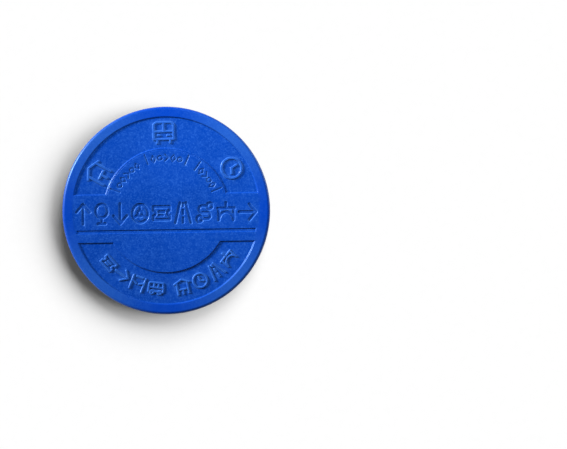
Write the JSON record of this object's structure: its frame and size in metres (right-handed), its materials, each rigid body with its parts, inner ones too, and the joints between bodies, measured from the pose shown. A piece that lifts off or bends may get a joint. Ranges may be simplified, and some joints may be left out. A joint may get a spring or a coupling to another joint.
{
  "type": "transit token",
  "caption": "Round blue plastic contactless fare token with raised and engraved pictograms, a plain numbered reverse, and a coil-and-chip inlay welded inside",
  "frame": {"origin": "centre of the plain reverse face, which the token lies on", "axes": "+Z out of the relief face, +Y to the top of the relief, +X to its right"},
  "size_m": [0.03, 0.03, 0.003],
  "materials": {
    "blue_abs": "fine spark-eroded texture, polished a little on the rim by handling",
    "weld_abs": "re-frozen plastic, slightly glossy",
    "adhesive": "milky acrylic adhesive film",
    "glass_epoxy": "woven glass-epoxy laminate",
    "copper": "etched copper foil",
    "solder_mask": "green solder mask, semi-gloss",
    "gold_plate": "immersion gold on copper",
    "silver_epoxy": "silver-filled die-attach epoxy",
    "silicon": "polished silicon die",
    "bond_wire": "drawn wire",
    "black_epoxy": "semi-matte chip encapsulant"
  },
  "bodies": {
    "root": {"front_shell": "blue_abs", "back_shell": "blue_abs", "weld_ring": "weld_abs", "inlay_adhesive": "adhesive", "inlay_board": "glass_epoxy", "antenna_top": "copper", "antenna_bottom": "copper", "return_track": "copper", "via_barrels": "copper", "solder_mask_top": "solder_mask", "solder_mask_bottom": "solder_mask", "die_pad": "gold_plate", "bond_pads": "gold_plate", "die_attach": "silver_epoxy", "chip_die": "silicon", "bond_wires": "bond_wire", "glob_top": "black_epoxy"}
  },
  "joints": []
}
